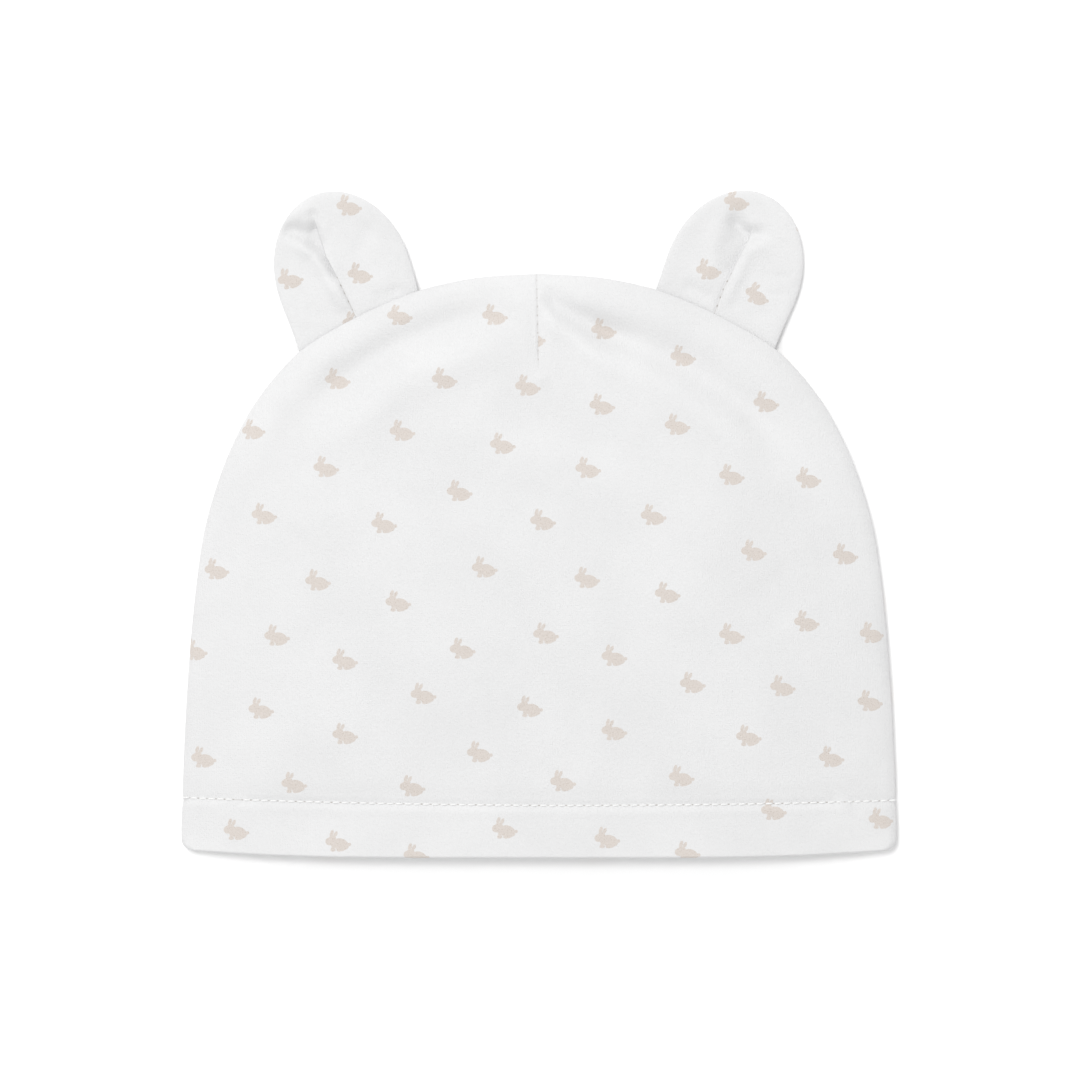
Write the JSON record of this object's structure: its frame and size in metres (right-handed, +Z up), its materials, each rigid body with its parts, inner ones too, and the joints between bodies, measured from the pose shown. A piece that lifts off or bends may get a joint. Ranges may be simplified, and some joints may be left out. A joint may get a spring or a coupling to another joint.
{
  "type": "baby hat with ears",
  "caption": "Baby's pull-on cotton jersey hat lying flat, with a rounded crown, a turned-up stitched hem and small round-tipped ears sewn into the crown seam.",
  "frame": {"origin": "on the surface that the hat lies on, below the middle of the whole hat's box", "axes": "+X across the hat to the right as seen from above, +Y from the mouth to the crown and the ears, +Z up through the front panel"},
  "size_m": [0.179, 0.1666, 0.0122],
  "materials": {
    "panel_jersey": "matt white cotton interlock jersey with a pale beige all-over print of small rabbits",
    "ear_jersey": "the same printed white cotton jersey, two layers sewn and turned",
    "stitch_thread": "white polyester sewing thread"
  },
  "bodies": {
    "root": {"front_panel": "panel_jersey", "back_panel": "panel_jersey", "left_ear": "ear_jersey", "right_ear": "ear_jersey"}
  },
  "joints": []
}
